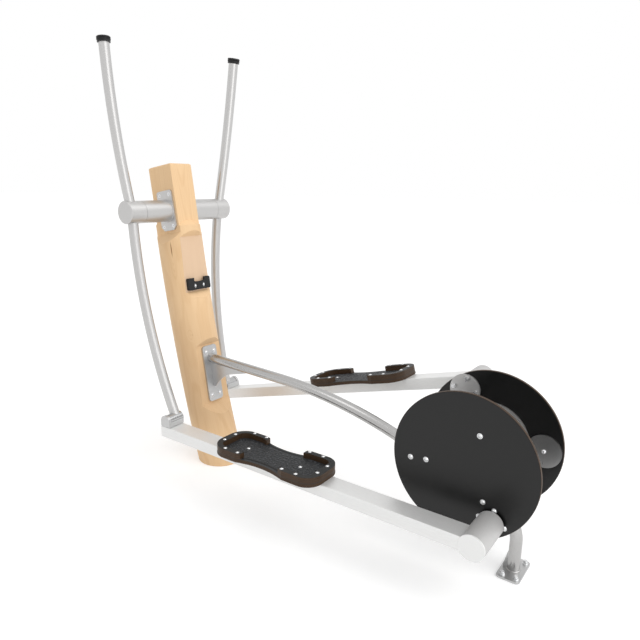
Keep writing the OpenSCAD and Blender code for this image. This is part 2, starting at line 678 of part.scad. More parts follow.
// stay: corner points, as [x, z]
s_start = [-44.6, 483];
s_mid = [674, 458.8];
s_rear = [leg_x, 202.3];
slope1 = atan2(s_mid[1] - s_start[1], s_mid[0] - s_start[0]);
slope2 = atan2(s_rear[1] - s_mid[1], s_rear[0] - s_mid[0]);
function stay_line(x) = s_mid[1] + (x - s_mid[0]) * tan(slope2);
module stay_run(p, a, l, r) { translate([p[0], 0, p[1]]) rotate([0, -a, 0]) xcyl(r, 0, l); }
module stay_pieces(r, x) {
  d = slope1 - slope2;
  t1 = stay_bend * tan(d / 2);
  t2 = leg_bend * tan((90 + slope2) / 2);
  l0 = dist(s_start, s_mid) - t1;
  a = [s_mid[0] - t1 * cos(slope1), s_mid[1] - t1 * sin(slope1)];
  b = [s_mid[0] + t1 * cos(slope2), s_mid[1] + t1 * sin(slope2)];
  c = [s_rear[0] - t2 * cos(slope2), s_rear[1] - t2 * sin(slope2)];
  stay_run([s_start[0] - (20 + x) * cos(slope1), s_start[1] - (20 + x) * sin(slope1)], slope1,
    l0 + 20 + x, r);
  translate([a[0], 0, a[1]]) rotate([0, 90 - slope1, 0]) arc_tube(stay_bend, d, r, 0);
  stay_run(b, slope2, dist(b, c), r);
  translate([leg_x - leg_bend, 0, s_rear[1] - t2]) rotate([90, 0, 0])
    rotate_extrude(angle = 90 + slope2, $fn = 360) translate([leg_bend, 0]) circle(r);
  translate([leg_x, 0, base_t - x]) cylinder(r = r, h = s_rear[1] - t2 - base_t + x);
}
module stay_solid(r) stay_pieces(r, 0);
module stay_tube() color(steel) difference() {
  stay_pieces(tube_d / 2, 0);
  stay_pieces(tube_d / 2 - tube_wall, 2);
  flat_frame(plate_p, plate_lean) translate([-100, -100, -300]) cube([100, 200, 600]);
}
module post_bolt_places() {
  for (i = [-1, 1], j = [-101.5, 101.5]) translate([0, i * 23.5, j - 3]) rotate([0, 90, 0]) children();
}
module post_plate() color(zinc) flat_frame(plate_p, plate_lean) difference() {
  rotate([90, 0, 90]) translate([0, -3, -post_plate_t]) linear_extrude(post_plate_t)
    rrect(post_plate_w, post_plate_l, 14);
  post_bolt_places() translate([0, 0, -20]) cylinder(r = 5, h = 40);
}
module post_plate_bolts() color(bright) flat_frame(plate_p, plate_lean)
  post_bolt_places() dome_bolt(7.5, 5, 4.9, post_plate_t + 65);
// gusset under the stay, with a round inner edge
gusset_r = 232;
module stay_gusset() color(steel) difference() {
  union() {
  xz(-4, 4) difference() {
    polygon([[-60, 352], [175, 352], [175, s_start[1] - 10], [-60, s_start[1] - 10]]);
    translate([175, 455 - gusset_r]) circle(gusset_r, $fn = 360);
  }
  // nose that runs out under the stay
  xz(-4, 4) polygon([[60, 424], [72, 426.5], [184, 456], [184, 470], [60, 470]]);
  }
  stay_solid(tube_d / 2);
  translate([-100, -100, s_start[1] - 8]) cube([500, 200, 200]);
  flat_frame(plate_p, plate_lean) translate([-100, -100, -300]) cube([100, 200, 600]);
}
module base_bolt_places() {
  for (i = [-1, 1], j = [-1, 1]) translate([leg_x + 2 + i * 23, j * 52, base_t]) children();
}
module base_plate() color(zinc) {
  difference() {
    translate([leg_x, 0, 0]) linear_extrude(base_t) rrect(base_x, base_y, 15);
    base_bolt_places() translate([0, 0, -20]) cylinder(r = 6, h = 40);
  }
  difference() {
    xz(-2.5, 2.5) polygon([[leg_x - tube_d / 2 - 14, base_t - 0.5], [leg_x - tube_d / 2 - 14, base_t + 6],
      [leg_x - tube_d / 2 - 2, base_t + 58], [leg_x, base_t + 58], [leg_x, base_t - 0.5]]);
    translate([leg_x, 0, 0]) cylinder(r = tube_d / 2, h = 200);
  }
}
module base_bolts() color(bright) base_bolt_places() {
  cylinder(r = 10, h = 1.6);
  translate([0, 0, 1.6]) cylinder(r = 8.5, h = 6.5, $fn = 6);
  translate([0, 0, -base_t]) cylinder(r = 5.9, h = base_t + 12);
}

// phone holder on the panel flat: u up, y across, w out of the post
holder_z = -206;
module holder_screw_places() {
  for (i = [-1, 1]) translate([0, i * 25, holder_z + 18]) rotate([0, 90, 0]) children();
}
module phone_holder() color(black) flat_frame(panel_p, panel_lean) difference() {
  rotate([90, 0, 90]) translate([0, holder_z + 27, 0]) linear_extrude(17) rrect(128, 54, 7);
  // slot for the phone, open at the top
  translate([-e, -52, holder_z + 31]) cube([9 + e, 104, 40]);
  // notch in the front lip
  rotate([90, 0, 90]) linear_extrude(30) {
    translate([0, holder_z + 60]) rrect(60, 46, 6);
    translate([0, holder_z + 65]) square([60, 30], center = true);
  }
  holder_screw_places() {
    translate([0, 0, -e]) cylinder(r = 3.2, h = 40);
    translate([0, 0, 13]) cylinder(r = 9, h = 10);
  }
}
module holder_screws() color(bright) flat_frame(panel_p, panel_lean) holder_screw_places() {
  translate([0, 0, 13]) dome_bolt(6.5, 4, 2.9, 13 + 45);
}

post();
hub_bracket_left();
hub_bracket_right();
hub_axle();
hub_screws();
post_plate();
post_plate_bolts();
stay_tube();
stay_gusset();
base_plate();
base_bolts();
crank_bracket();
crank_housing();
crank_bearings();
phone_holder();
holder_screws();
arm_sleeve_left();
arm_end_cap_left();
arm_bearings_left();
handle_tube_left();
handle_cap_left();
lower_tube_left();
pivot_barrel_left();
arm_sleeve_right();
arm_end_cap_right();
arm_bearings_right();
handle_tube_right();
handle_cap_right();
lower_tube_right();
pivot_barrel_right();
beam_left();
pivot_bracket_left();
pivot_pin_left();
crank_sleeve_left();
sleeve_cap_left();
foot_board_left();
foot_tread_left();
toe_rim_left();
heel_rim_left();
foot_bolts_left();
beam_right();
pivot_bracket_right();
pivot_pin_right();
crank_sleeve_right();
sleeve_cap_right();
foot_board_right();
foot_tread_right();
toe_rim_right();
heel_rim_right();
foot_bolts_right();
crank_axle();
disc_left();
disc_right();
crank_hub_left();
crank_hub_right();
crank_pin_left();
crank_pin_right();
balance_plates();
disc_bolts();
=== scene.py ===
"""Looks of an outdoor cross trainer: wood, steel, boards, treads, welds and the stage."""
import json
import math
import random

import bmesh
import bpy
from mathutils import Matrix, Vector


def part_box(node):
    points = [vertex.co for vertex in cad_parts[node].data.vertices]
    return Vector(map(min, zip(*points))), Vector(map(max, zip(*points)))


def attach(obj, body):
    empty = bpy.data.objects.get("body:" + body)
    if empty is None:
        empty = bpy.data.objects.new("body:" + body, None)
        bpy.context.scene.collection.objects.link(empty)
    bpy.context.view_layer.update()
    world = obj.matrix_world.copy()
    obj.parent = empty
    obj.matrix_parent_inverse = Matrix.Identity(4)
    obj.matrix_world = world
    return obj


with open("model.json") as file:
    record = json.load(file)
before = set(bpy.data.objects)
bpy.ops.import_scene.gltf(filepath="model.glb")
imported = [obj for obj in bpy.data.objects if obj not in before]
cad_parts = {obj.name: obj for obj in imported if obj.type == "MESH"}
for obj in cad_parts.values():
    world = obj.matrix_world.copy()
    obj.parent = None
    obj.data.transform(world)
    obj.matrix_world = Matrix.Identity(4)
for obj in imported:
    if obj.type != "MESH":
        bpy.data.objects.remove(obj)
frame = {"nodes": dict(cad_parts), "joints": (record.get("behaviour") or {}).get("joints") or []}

bl_info = {
    "name": "Outdoor Cross Trainer",
    "version": (1, 0, 0),
    "blender": (4, 5, 0),
    "location": "3D View > Sidebar > Cross Trainer",
    "description": "Dresses an outdoor cross trainer with wood, steel, boards and a studio stage",
    "category": "Object",
}

MM = 0.001
SIDES = {"left": -1, "right": 1}

# Foot plate in its own frame, in metres: the toe end is at -X
FOOT_LENGTH = 0.490
FOOT_WIDTH = 0.191
TOE_RADIUS = 0.072
HEEL_RADIUS = 0.062
WAIST_WIDTH = 0.152
WAIST_RADIUS = 0.330
RIM_WIDTH = 0.023
RIM_END = 0.031
RIM_START = 0.091
GROOVE_IN = 0.013
FLOOR_BOLTS = ((-0.126, 0.0), (0.126, 0.0))

# Foot plates on their beams, measured from the lower pivot
FOOT_CENTRE = {"left": 0.567, "right": 0.820}
BEAM_OUT = 0.272
BEAM_DROP = 0.049
PIVOT_UP = 0.025
TREAD_THICK = 0.0145
RIM_THICK = 0.0215
FLOOR_TOP = -PIVOT_UP + TREAD_THICK
RIM_TOP = FLOOR_TOP + RIM_THICK

# Black film of the boards: how deep it reaches down the edges, and how soft it ends
TREAD_FILM = 1.2 * MM
BOARD_FILM = 0.2 * MM
FILM_FADE = 0.4 * MM
DISC_FILM_RADIUS = 0.2488
DISC_RIM_RADIUS = 0.2492

# Pebbles: scatter in pitches, range of sizes, taper, and clear distances
PEBBLE_SCATTER = 0.34
PEBBLE_SIZES = (0.5, 1.12)
PEBBLE_TAPER = 0.80
PEBBLE_SUNK = 0.1 * MM
RIM_CLEAR = 1 * MM
RIM_END_CLEAR = 4 * MM
GROOVE_CLEAR = 6 * MM
BOLT_CLEAR = 13 * MM

# Welds: section in legs outside the tube, depth inside it, ripples round it, and places
WELD_SECTION = ((1, 0), (0.72, 0.42), (0.36, 0.78))
WELD_SUNK = 0.4 * MM
WELD_RIPPLES = 24
WELD_RIPPLE_SHARE = 0.07
HUB_FACE_Y = 0.068
CROSS_TUBE_RADIUS = 0.0478
BASE_PLATE_TOP = 0.007
STAY_LEG_RADIUS = 0.0212

# Log: its centre line is an arc in the XZ plane
LOG_BEND = 8.0
LOG_LEAN = math.radians(16.5)
RING_WAVE = 0.034
KNOT_LIFT = 0.012
GRAIN_DEPTH = 0.4 * MM
# Tint multiplied into the log's middle heights as painted shade
PAINTED_SHADE_TINT = (0.83, 0.815, 0.81)

# Stretches that turn even noise into marks along the log's grain
WAVE_STRETCH = (7, 7, 1.6)
FIBRE_STRETCH = (420, 420, 9)
FLAME_STRETCH = (26, 26, 2.2)
PIN_KNOT_STRETCH = (11, 11, 7)

# Knots on the log: place, spread across the grain, spread along the grain, depth of colour
KNOTS = (
    ((-0.185, -0.094, 0.979), 0.0034, 0.044, 1.0),
    ((-0.085, -0.093, 0.60), 0.0050, 0.0075, 0.35),
    ((0.035, -0.088, 0.205), 0.0060, 0.0080, 0.42),
    ((-0.10, 0.090, 0.78), 0.0070, 0.0110, 0.50),
    ((-0.30, -0.02, 0.86), 0.0080, 0.0120, 0.45),
)

# Planed flat: a point on it, its lean, and where it fades out above and below that point
PANEL_POINT = Vector((-0.151, 0, 1.000))
PANEL_LEAN = math.radians(8.24)
PANEL_TOP = (0.037, 0.034)
PANEL_FOOT = (-0.216, -0.212)

# Steel: depth of the brushing, and stretches that lay its lines where they are small
BRUSH_DEPTH = 0.0004 * MM
ALONG_XZ = (0.12, 1, 0.12)
ALONG_Y = (1, 0.12, 1)
ALONG_Z = (1, 1, 0.12)
PLATE_STRETCH = (1, 1, 0.15)
TURNED_STRETCH = (1, 0.2, 1)
BEAM_STRETCH = (0.08, 1, 1)

# Camera, found from the photograph
CAMERA_PLACE = Vector((1.8698, -1.8432, 1.2994))
CAMERA_AZIMUTH = math.radians(35.30)
CAMERA_PITCH = math.radians(13.52)
CAMERA_ROLL = 0.0189
CAMERA_FOCUS = 590.6
PHOTO_WIDTH = 640

# Light: share of the white sky, lift of the floor's white, sun, and softboxes given by
# name, place, target, width, height and power
SKY_LIGHT = 0.72
FLOOR_LIFT = 0.34
FLOOR_DROP = 0.5 * MM
SUN_TOWARDS = (-0.62, -0.20, -0.76)
SUN_STRENGTH = 0.85
SUN_SPREAD = 50
SOFTBOXES = (
    ("side_strip", (3.3, -0.8, 1.8), (-0.2, 0.0, 1.0), 2.2, 3.2, 20),
    ("top_strip", (-0.2, -1.6, 3.6), (0.7, 0.0, 0.6), 0.7, 2.0, 7),
)


def linear(r, g, b):
    """A colour written as 0 to 255 screen values, as linear light."""
    def one(v):
        v /= 255
        return v / 12.92 if v <= 0.04045 else ((v + 0.055) / 1.055) ** 2.4
    return one(r), one(g), one(b)


def colour_prop(name, description, rgb):
    return bpy.props.FloatVectorProperty(
        name=name, description=description, subtype="COLOR", size=3, min=0, max=1,
        default=linear(*rgb))


def length_prop(name, description, default):
    return bpy.props.FloatProperty(
        name=name, description=description, default=default, min=0, unit="LENGTH",
        subtype="DISTANCE")


class CrossTrainerColours(bpy.types.PropertyGroup):
    wood_light: colour_prop("Wood, light", "Early wood between the growth rings", (243, 207, 162))
    wood_dark: colour_prop("Wood, dark", "Late wood in the growth rings", (226, 184, 136))
    wood_panel: colour_prop(
        "Panel flat", "Bare planed flat above the phone holder", (227, 197, 169))
    knot: colour_prop("Knot", "Knots and the cracks in them", (158, 108, 64))
    tube: colour_prop("Tube steel", "Satin tubes of the arms and the hub", (198, 197, 196))
    beam: colour_prop("Beam steel", "Brighter satin of the beams", (235, 235, 234))
    plate: colour_prop("Plate steel", "Flat plates", (193, 193, 193))
    bolt: colour_prop("Bolt steel", "Polished bolt heads", (222, 223, 224))
    board_face: colour_prop("Board face", "Black film on the boards and discs", (17, 17, 17))
    board_core: colour_prop("Board core", "Brown core at the cut edges", (71, 50, 30))
    tread: colour_prop("Tread", "Pebbled top of the foot plates", (56, 58, 61))
    plastic: colour_prop("Plastic", "Handle caps and phone holder", (21, 21, 22))


class CrossTrainerSizes(bpy.types.PropertyGroup):
    ring_pitch: length_prop("Growth ring pitch", "Distance between two growth rings", 4.6 * MM)
    pebble_pitch: length_prop(
        "Pebble pitch", "Distance between the pebbles of the tread", 12.5 * MM)
    pebble_radius: length_prop("Pebble radius", "Radius of one pebble at its foot", 5.9 * MM)
    pebble_height: length_prop("Pebble height", "How far a pebble stands proud", 1.3 * MM)
    weld_leg: length_prop("Weld leg", "Leg of the weld beads", 3.2 * MM)
    floor_radius: length_prop("Floor radius", "Radius of the studio floor", 40)


def colours():
    return bpy.context.scene.trainer_colours


def sizes():
    return bpy.context.scene.trainer_sizes


def shaded(colour, factor):
    """A colour made darker or lighter."""
    return [v * factor for v in colour]


def both(*stems):
    """Names of the left and the right node of each stem."""
    return [f"{stem}_{side}" for stem in stems for side in SIDES]


def centre_of(node):
    lo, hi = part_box(node)
    return (lo + hi) / 2


def joint_place(name):
    return Vector(next(j for j in frame["joints"] if j["name"] == name)["pos_m"])


def beam_matrix(side):
    """Place of a beam: lower pivot at the origin, the beam along +X."""
    pivot = joint_place(f"{side}_beam_pivot")
    pin = centre_of(f"crank_sleeve_{side}")
    reach = math.hypot(pin.x - pivot.x, pin.z - pivot.z)
    angle = math.atan2(pin.z - pivot.z, pin.x - pivot.x) + math.asin(BEAM_DROP / reach)
    return Matrix.Translation((pivot.x, 0, pivot.z)) @ Matrix.Rotation(-angle, 4, "Y")


class Graph:
    """A material's node tree with short ways to add and join nodes."""

    def __init__(self, name):
        self.material = bpy.data.materials.new(name)
        self.material.use_nodes = True
        self.tree = self.material.node_tree
        self.shader = self.tree.nodes["Principled BSDF"]

    def plug(self, value, socket):
        """Joins a socket to another one, or sets its value."""
        if isinstance(value, bpy.types.NodeSocket):
            self.tree.links.new(value, socket)
        else:
            socket.default_value = value

    def add(self, kind, settings=None, **inputs):
        made = self.tree.nodes.new(kind)
        for key, value in (settings or {}).items():
            setattr(made, key, value)
        for key, value in inputs.items():
            self.plug(value, made.inputs[key])
        return made

    def maths(self, operation, *values, clamp=False):
        made = self.add("ShaderNodeMath", {"operation": operation, "use_clamp": clamp})
        for i, value in enumerate(values):
            self.plug(value, made.inputs[i])
        return made.outputs[0]

    def plus(self, a, b):
        return self.maths("ADD", a, b)

    def minus(self, a, b):
        return self.maths("SUBTRACT", a, b)

    def times(self, a, b):
        return self.maths("MULTIPLY", a, b)

    def size(self, value):
        return self.maths("ABSOLUTE", value)

    def hypot(self, a, b):
        return self.maths("SQRT", self.plus(self.times(a, a), self.times(b, b)))

    def largest(self, first, *others):
        for value in others:
            first = self.maths("MAXIMUM", first, value)
        return first

    def length(self, vector):
        return self.add("ShaderNodeVectorMath", {"operation": "LENGTH"},
                        Vector=vector).outputs["Value"]

    def stretch(self, vector, scale):
        return self.add("ShaderNodeMapping", Vector=vector, Scale=scale).outputs[0]

    def place(self, matrix=None, scale=(1, 1, 1)):
        """Object coordinates seen from the frame that matrix places, then scaled."""
        here = self.add("ShaderNodeTexCoord").outputs["Object"]
        if matrix is not None:
            back = matrix.inverted()
            here = self.add("ShaderNodeMapping", Vector=here, Location=back.to_translation(),
                            Rotation=back.to_euler("XYZ")).outputs[0]
        return here if scale == (1, 1, 1) else self.stretch(here, scale)

    def split(self, vector):
        return self.add("ShaderNodeSeparateXYZ", Vector=vector).outputs

    def noise(self, vector, scale, detail, roughness=0.5, distortion=0.0):
        return self.add("ShaderNodeTexNoise", Vector=vector, Scale=scale, Detail=detail,
                        Roughness=roughness, Distortion=distortion).outputs["Fac"]

    def ramp(self, value, low, high, to_low=0.0, to_high=1.0):
        """Smooth step from to_low at low to to_high at high, level past both."""
        made = self.add("ShaderNodeMapRange", {"interpolation_type": "SMOOTHSTEP"}, Value=value)
        for key, number in (("From Min", low), ("From Max", high), ("To Min", to_low),
                            ("To Max", to_high)):
            made.inputs[key].default_value = number
        return made.outputs[0]

    def mix(self, factor, a, b, mode="MIX"):
        made = self.add("ShaderNodeMix", {"data_type": "RGBA", "blend_type": mode})
        self.plug(factor, made.inputs[0])
        for value, socket in ((a, made.inputs[6]), (b, made.inputs[7])):
            self.plug(value if isinstance(value, bpy.types.NodeSocket) else (*value, 1), socket)
        return made.outputs[2]

    def bump(self, height, distance, strength):
        made = self.add("ShaderNodeBump", Height=height, Distance=distance, Strength=strength)
        self.plug(made.outputs[0], self.shader.inputs["Normal"])

    def surface(self, **values):
        """Sets or joins the shader's inputs, and gives the finished material."""
        for key, value in values.items():
            self.plug(value, self.shader.inputs[key.replace("_", " ")])
        return self.material


def log_x(height):
    """The log's centre line x at a height."""
    rise = LOG_BEND * math.sin(LOG_LEAN) - height
    return LOG_BEND * math.cos(LOG_LEAN) - math.sqrt(LOG_BEND ** 2 - rise ** 2)


def log_x_node(g, height):
    """Node value of the log's centre line x at a height."""
    rise = g.minus(LOG_BEND * math.sin(LOG_LEAN), height)
    square = g.minus(LOG_BEND ** 2, g.times(rise, rise))
    return g.minus(LOG_BEND * math.cos(LOG_LEAN), g.maths("SQRT", square))


def knot_field(g, straight, place, reach):
    """1 at place, falling to 0 at reach, in the straightened log."""
    moved = g.add("ShaderNodeMapping", Vector=straight,
                  Location=[-p / r for p, r in zip(place, reach)],
                  Scale=[1 / r for r in reach]).outputs[0]
    return g.ramp(g.length(moved), 1.0, 0.25)


def knots(g, straight):
    """Node values of each knot's swelling and of each knot's dark core."""
    swells, cores = [], []
    for (x, y, z), wide, tall, depth in KNOTS:
        place = (x - log_x(z), y, z)
        swell_wide, swell_tall = 2.6 * wide + 0.012, 3.0 * tall + 0.02
        swells.append(knot_field(g, straight, place, (swell_wide, swell_wide, swell_tall)))
        core = knot_field(g, straight, place, (wide, max(wide, 0.03), tall))
        cores.append(g.times(core, depth))
    return swells, cores


def panel_flat(g):
    """1 on the planed flat round the phone holder, 0 on the rest of the log."""
    face = Matrix.Translation(PANEL_POINT) @ Matrix.Rotation(-PANEL_LEAN, 4, "Y")
    off, _, up = g.split(g.place(face))
    on_face = g.ramp(g.size(off), 1.2 * MM, 0.2 * MM)
    return g.times(on_face, g.times(g.ramp(up, *PANEL_TOP), g.ramp(up, *PANEL_FOOT)))


def wood():
    """Oiled log: rings round the bent pith, fibres, knots, painted shade on its middle heights,
    and a bare planed flat.
    """
    g, c = Graph("oiled_log_wood"), colours()
    x, y, z = g.split(g.place())
    across = g.minus(x, log_x_node(g, z))
    straight = g.add("ShaderNodeCombineXYZ", X=across, Y=y, Z=z).outputs[0]
    swells, cores = knots(g, straight)
    pin_knots = g.add("ShaderNodeTexVoronoi", Scale=1.0,
                      Vector=g.stretch(straight, PIN_KNOT_STRETCH)).outputs["Distance"]
    dark = g.largest(*cores, g.ramp(pin_knots, 0.11, 0.03, 0, 0.5))
    wave = g.noise(g.stretch(straight, WAVE_STRETCH), 1, 2)
    radius = g.plus(g.hypot(across, y), g.times(wave, RING_WAVE))
    radius = g.plus(radius, g.times(g.largest(*swells), KNOT_LIFT))
    turn = g.times(radius, math.tau / sizes().ring_pitch)
    rings = g.ramp(g.maths("SINE", turn), -0.2, 1.0)
    fibre = g.noise(g.stretch(straight, FIBRE_STRETCH), 1, 4, 0.6)
    flame = g.noise(g.stretch(straight, FLAME_STRETCH), 1, 3, 0.55, 0.6)
    streaks = g.plus(g.times(g.ramp(fibre, 0.35, 0.75), 0.20),
                     g.times(g.ramp(flame, 0.4, 0.75), 0.26))
    tone = g.maths("ADD", g.times(rings, 0.24), streaks, clamp=True)
    paint = g.mix(tone, c.wood_light, c.wood_dark)
    # Painted shade: darker at the log's middle heights, fully between 0.25 and 0.35 m up, fading
    # out by 0.08 m and 0.85 m
    painted_shade_band = g.times(g.ramp(z, 0.85, 0.35), g.ramp(z, 0.08, 0.25))
    paint = g.mix(painted_shade_band, paint, PAINTED_SHADE_TINT, "MULTIPLY")
    flat = panel_flat(g)
    paint = g.mix(g.times(flat, 0.75), paint, c.wood_panel)
    dark = g.times(dark, g.minus(1.0, flat))
    paint = g.mix(dark, paint, c.knot)
    height = g.plus(g.times(fibre, 0.5), g.times(rings, 0.35))
    g.bump(g.minus(height, dark), GRAIN_DEPTH, 0.5)
    return g.surface(Base_Color=paint, Roughness=g.ramp(fibre, 0.2, 0.8, 0.46, 0.62),
                     Specular_IOR_Level=0.32)


def steel(name, colour, rough, stretch=(1, 1, 1), grain=600, metal=1.0, matrix=None):
    """Brushed stainless steel, its lines along the axes where stretch is small.

    A blasted surface scatters part of its light, so it has less than 1 as metal.
    """
    g = Graph(name)
    brushed = g.noise(g.place(matrix, stretch), grain, 1, 0.4)
    smudge = g.noise(g.place(), 7, 3)
    g.bump(brushed, BRUSH_DEPTH, 0.4)
    even = g.ramp(smudge, 0.3, 0.7, rough - 0.02, rough + 0.03)
    return g.surface(Base_Color=g.mix(g.ramp(brushed, 0.3, 0.7), shaded(colour, 0.96), colour),
                     Metallic=metal,
                     Roughness=g.plus(even, g.ramp(brushed, 0.3, 0.7, -0.01, 0.02)))


def disc_board():
    """Black film on both faces, brown core on the rim."""
    g, c = Graph("disc_board"), colours()
    axis = joint_place("crank_turn")
    x, _, z = g.split(g.place(Matrix.Translation((axis.x, 0, axis.z))))
    rim = g.ramp(g.hypot(x, z), DISC_FILM_RADIUS, DISC_RIM_RADIUS)
    layers = g.noise(g.place(None, (6, 900, 6)), 1, 2)
    core = g.mix(g.ramp(layers, 0.3, 0.7), shaded(c.board_core, 0.6), c.board_core)
    scuffs = g.noise(g.place(), 34, 5, 0.62)
    film = g.mix(g.ramp(scuffs, 0.4, 0.8, 0, 0.35), c.board_face, shaded(c.board_face, 1.5))
    fine = g.noise(g.place(), 1600, 2)
    g.bump(g.plus(fine, g.times(layers, rim)), 0.03 * MM, 0.5)
    return g.surface(Base_Color=g.mix(rim, film, core),
                     Roughness=g.plus(g.ramp(scuffs, 0.3, 0.7, 0.29, 0.34), g.times(rim, 0.2)),
                     Specular_IOR_Level=0.37)


def groove_shade_line(g, side, x, y):
    """1 on a band round each groove that follows the waist of a tread, where painted shade goes, 0
    beside it.
    """
    off = g.size(g.minus(y, SIDES[side] * BEAM_OUT))
    away = g.add("ShaderNodeCombineXYZ", X=g.minus(x, FOOT_CENTRE[side]),
                 Y=g.minus(WAIST_WIDTH / 2 + WAIST_RADIUS, off)).outputs[0]
    groove = WAIST_RADIUS + GROOVE_IN + 2 * MM
    return g.ramp(g.size(g.minus(g.length(away), groove)), 5.8 * MM, 4.4 * MM)


def foot_board(side, top, name, pebbled):
    """Black film on the top face, at a height above the lower pivot, and brown layered edges."""
    g, c = Graph(f"{name}_{side}"), colours()
    here = g.place(beam_matrix(side))
    x, y, z = g.split(here)
    film_foot = top - (TREAD_FILM if pebbled else BOARD_FILM)
    upper = g.ramp(z, film_foot - FILM_FADE, film_foot)
    strata = g.noise(g.stretch(here, (5, 5, 700)), 1, 2)
    sawn = g.noise(g.stretch(here, (160, 160, 90)), 1, 3)
    core = g.mix(g.ramp(strata, 0.3, 0.7), shaded(c.board_core, 0.55), c.board_core)
    core = g.mix(g.ramp(sawn, 0.45, 0.8, 0, 0.5), core, shaded(c.board_core, 0.5))
    cells = g.add("ShaderNodeTexVoronoi", {"feature": "SMOOTH_F1"}, Vector=here,
                  Scale=230.0, Smoothness=0.6).outputs["Distance"]
    grit = g.noise(here, 520, 3, 0.6)
    face = shaded(c.tread, 0.62) if pebbled else shaded(c.board_face, 1.5)
    film = g.mix(g.ramp(grit, 0.3, 0.75), shaded(face, 0.7), face)
    if pebbled:
        # Painted shade: a near-black band along each groove round the waist, wider than the groove
        # itself
        film = g.mix(groove_shade_line(g, side, x, y), film, shaded(c.tread, 0.02))
    relief = g.minus(g.times(grit, 0.4), cells)
    g.bump(g.times(relief, upper), 0.6 * MM if pebbled else 0.2 * MM, 0.5)
    return g.surface(Base_Color=g.mix(upper, core, film),
                     Roughness=g.ramp(grit, 0.2, 0.8, 0.44, 0.6), Specular_IOR_Level=0.36)


def pebble_rubber():
    """Gritty grey rubber with darker, worn patches."""
    g, c = Graph("pebble_rubber"), colours()
    grit = g.noise(g.place(), 900, 3)
    worn = g.noise(g.place(), 48, 2)
    g.bump(grit, 0.1 * MM, 0.4)
    paint = g.mix(g.ramp(grit, 0.3, 0.7), shaded(c.tread, 0.8), shaded(c.tread, 1.2))
    return g.surface(Base_Color=g.mix(g.ramp(worn, 0.66, 0.38), paint, shaded(c.tread, 0.45)),
                     Roughness=g.ramp(grit, 0.2, 0.8, 0.42, 0.56), Specular_IOR_Level=0.5)


def moulded_plastic():
    """Black plastic with a fine leather grain."""
    g, c = Graph("moulded_plastic"), colours()
    leather = g.noise(g.place(), 1300, 4, 0.6)
    wear = g.noise(g.place(), 28, 4, 0.6)
    g.bump(leather, 0.08 * MM, 0.5)
    return g.surface(Base_Color=g.mix(g.ramp(wear, 0.45, 0.8), c.plastic, shaded(c.plastic, 1.35)),
                     Roughness=g.ramp(leather, 0.25, 0.75, 0.40, 0.54), Specular_IOR_Level=0.35)


def weld_metal():
    """Rippled weld, a little darker where it was hotter."""
    g, c = Graph("weld_metal"), colours()
    ripple = g.noise(g.place(), 420, 3)
    heat = g.noise(g.place(), 60, 2)
    g.bump(ripple, 0.2 * MM, 0.6)
    return g.surface(Base_Color=g.mix(g.ramp(heat, 0.4, 0.7), shaded(c.tube, 0.82), c.tube),
                     Metallic=1.0, Roughness=g.ramp(ripple, 0.3, 0.7, 0.3, 0.42))


def dress(material, *nodes):
    """Gives CAD nodes a material in their own slots."""
    for name in nodes:
        data = frame["nodes"][name].data
        if not data.materials:
            data.materials.append(material)
        for i in range(len(data.materials)):
            data.materials[i] = material


def piece(name, mesh, material, body):
    """Turns a bmesh into a piece of the object that rides on a body."""
    bmesh.ops.recalc_face_normals(mesh, faces=mesh.faces)
    data = bpy.data.meshes.new(name)
    mesh.to_mesh(data)
    mesh.free()
    data.materials.append(material)
    for face in data.polygons:
        face.use_smooth = True
    made = bpy.data.objects.new(name, data)
    bpy.context.scene.collection.objects.link(made)
    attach(made, body)


class DressPost(bpy.types.Operator):
    """Wood of the leaning log, with rings, fibres, knots and the planed panel flat"""
    bl_idname = "trainer.dress_post"
    bl_label = "Post"

    def execute(self, context):
        dress(wood(), "post")
        return {"FINISHED"}


class DressSteel(bpy.types.Operator):
    """Satin steel of tubes, beams, plates, machined parts and bolts"""
    bl_idname = "trainer.dress_steel"
    bl_label = "Steelwork"

    def execute(self, context):
        c = colours()
        dress(steel("satin_tube", c.tube, 0.30, ALONG_Z, metal=0.95), *both("handle_tube"))
        dress(steel("satin_lower_tube", shaded(c.tube, 0.97), 0.40, ALONG_Z, metal=0.9),
              *both("lower_tube"))
        dress(steel("polished_stay", shaded(c.tube, 0.82), 0.24, ALONG_XZ), "stay_tube")
        dress(steel("satin_cross_tube", c.tube, 0.38, ALONG_Y, metal=0.85),
              *both("hub_bracket", "arm_sleeve", "arm_end_cap", "crank_pin", "crank_hub"))
        dress(steel("blasted_sleeve", c.tube, 0.5, ALONG_Y, metal=0.3), *both("crank_sleeve"))
        dress(steel("satin_plate", c.plate, 0.34, PLATE_STRETCH, metal=0.9), "post_plate",
              "base_plate", "stay_gusset", "crank_bracket", *both("pivot_bracket"))
        dress(steel("balance_plate", shaded(c.plate, 0.72), 0.3, PLATE_STRETCH), "balance_plates")
        dress(steel("turned_steel", shaded(c.plate, 0.9), 0.15, TURNED_STRETCH), "hub_axle",
              "crank_axle", "crank_bearings", "crank_housing",
              *both("arm_bearings", "pivot_pin", "pivot_barrel"))
        dress(steel("polished_bolt", c.bolt, 0.22, grain=500, metal=0.85), "hub_screws",
              "post_plate_bolts", "base_bolts", "holder_screws", "disc_bolts",
              *both("foot_bolts"))
        for side in SIDES:
            dress(steel(f"satin_beam_{side}", c.beam, 0.42, BEAM_STRETCH, metal=0.5,
                        matrix=beam_matrix(side)), f"beam_{side}")
            dress(steel(f"satin_sleeve_cap_{side}", c.beam, 0.4, metal=0.5),
                  f"sleeve_cap_{side}")
        return {"FINISHED"}


class DressDiscs(bpy.types.Operator):
    """Black film-faced discs with a brown edge"""
    bl_idname = "trainer.dress_discs"
    bl_label = "Discs"

    def execute(self, context):
        dress(disc_board(), *both("disc"))
        return {"FINISHED"}


